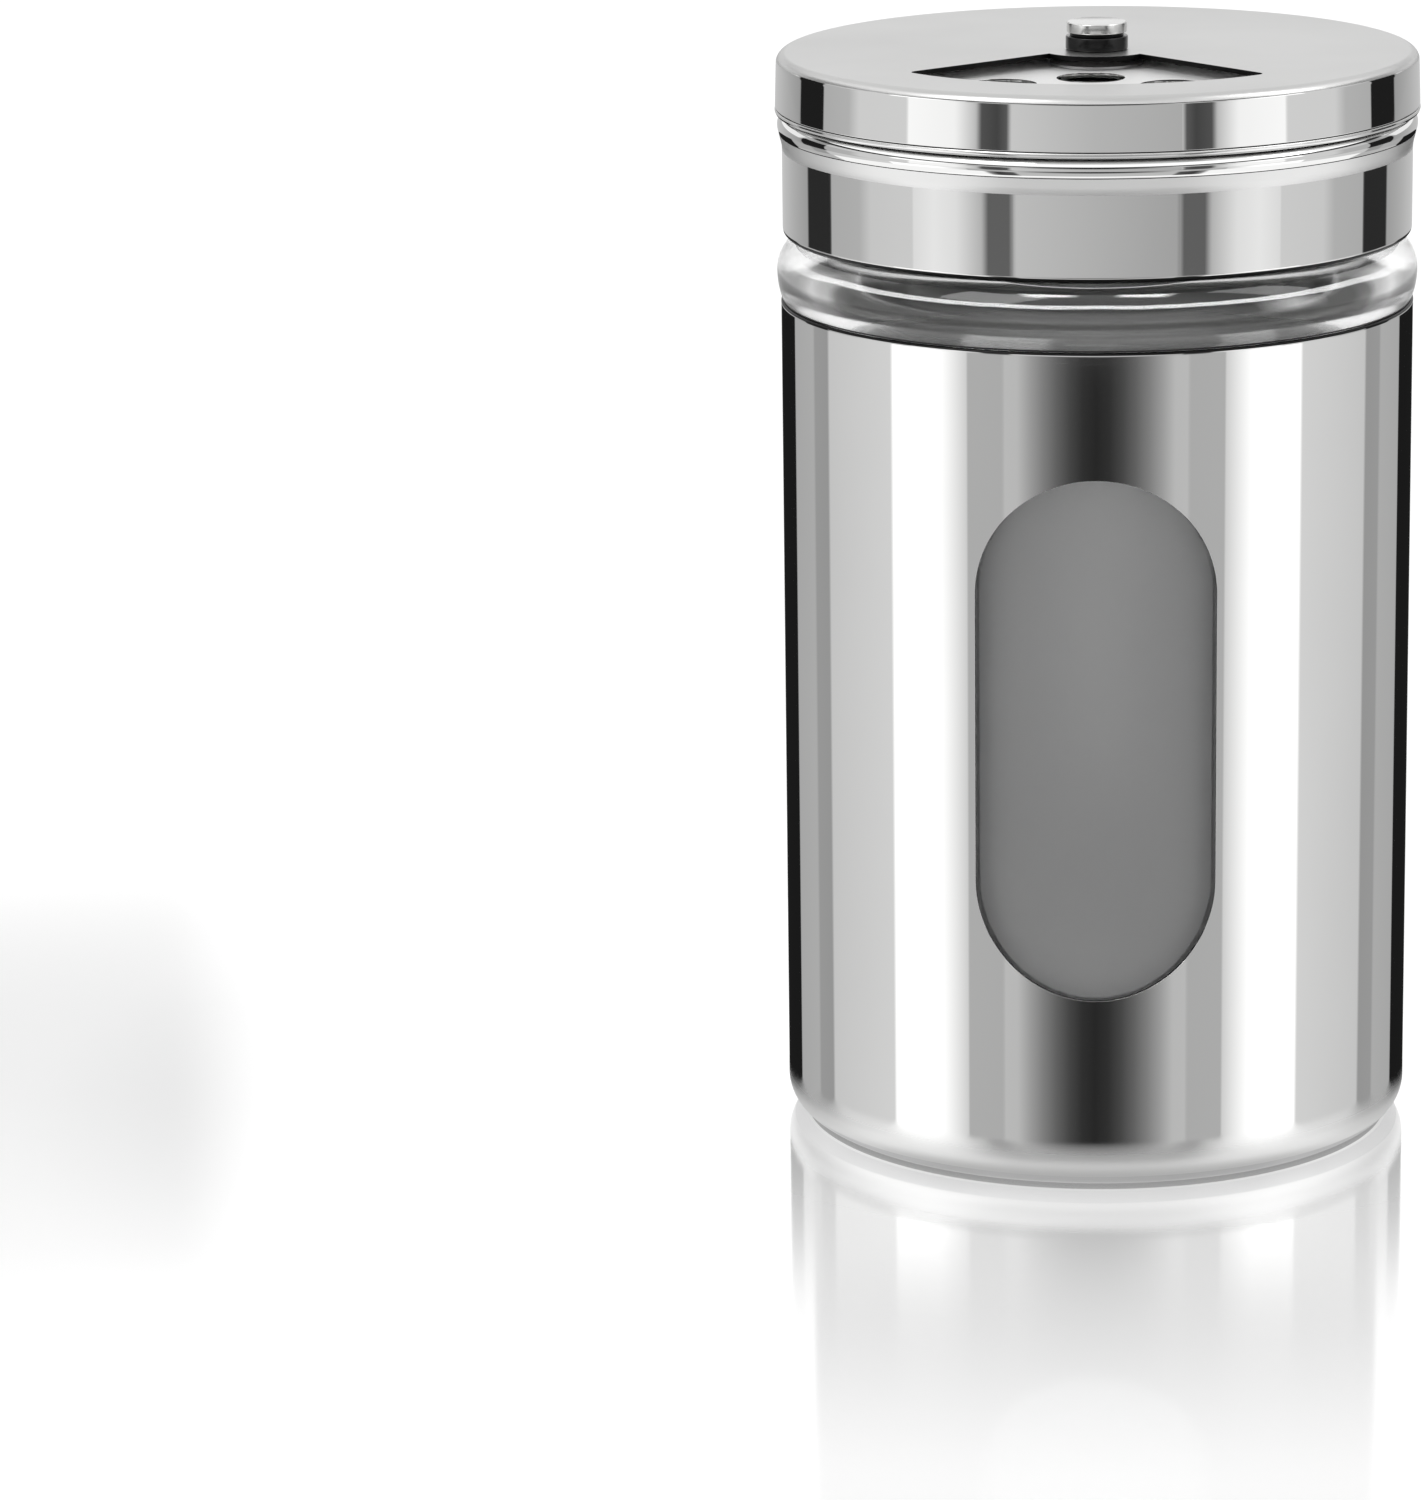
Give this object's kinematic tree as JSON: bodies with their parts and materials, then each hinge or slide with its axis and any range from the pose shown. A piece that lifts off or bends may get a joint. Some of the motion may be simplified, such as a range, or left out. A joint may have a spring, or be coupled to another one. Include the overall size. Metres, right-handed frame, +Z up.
{
  "type": "spice shaker dispenser",
  "caption": "Table-top spice shaker: a glass jar in a polished steel sleeve with a long viewing window, and a screw lid whose turning dial uncovers shaker holes or a pouring gap.",
  "frame": {"origin": "on the table, on the shaker's axis, at the bottom of the steel sleeve's foot ring", "axes": "+Z up the shaker's axis; -Y to the front, where the sleeve's window and, at rest, the dial's opening face; +X to the right seen from the front"},
  "size_m": [0.0602, 0.0602, 0.1048],
  "materials": {
    "sleeve_steel": "mirror polished stainless steel",
    "lid_steel": "polished stainless steel, the flat top finely satin",
    "rivet_steel": "turned bright steel",
    "spring_steel": "dull spring steel",
    "clear_glass": "clear pressed glass",
    "white_plastic": "moulded white plastic",
    "clear_seal": "soft milky silicone"
  },
  "bodies": {
    "jar": {"steel_sleeve": "sleeve_steel", "glass_jar": "clear_glass"},
    "lid_lift_stage": {"seal_ring": "clear_seal"},
    "lid": {"lid_base": "lid_steel", "thread_insert": "white_plastic", "spring_washer": "spring_steel", "backing_washer": "rivet_steel", "pivot_rivet": "rivet_steel", "top_washer": "rivet_steel"},
    "dial": {"dial_cap": "lid_steel"}
  },
  "joints": [
    {"name": "lid_lift", "type": "slide", "parent": "jar", "child": "lid_lift_stage", "axis": [0, 0, 1], "range_m": [0, 0.0169]},
    {"name": "lid_turn", "type": "hinge", "parent": "lid_lift_stage", "child": "lid", "pos_m": [0, 0, 0.09], "axis": [0, 0, 1], "range_deg": [0, 1440]},
    {"name": "dial_turn", "type": "hinge", "parent": "lid", "child": "dial", "pos_m": [0, 0, 0.102], "axis": [0, 0, 1], "continuous": true}
  ],
  "couplings": [
    {"joint": "lid_lift", "follows": "lid_turn", "m_per_rad": 0.00066845}
  ]
}
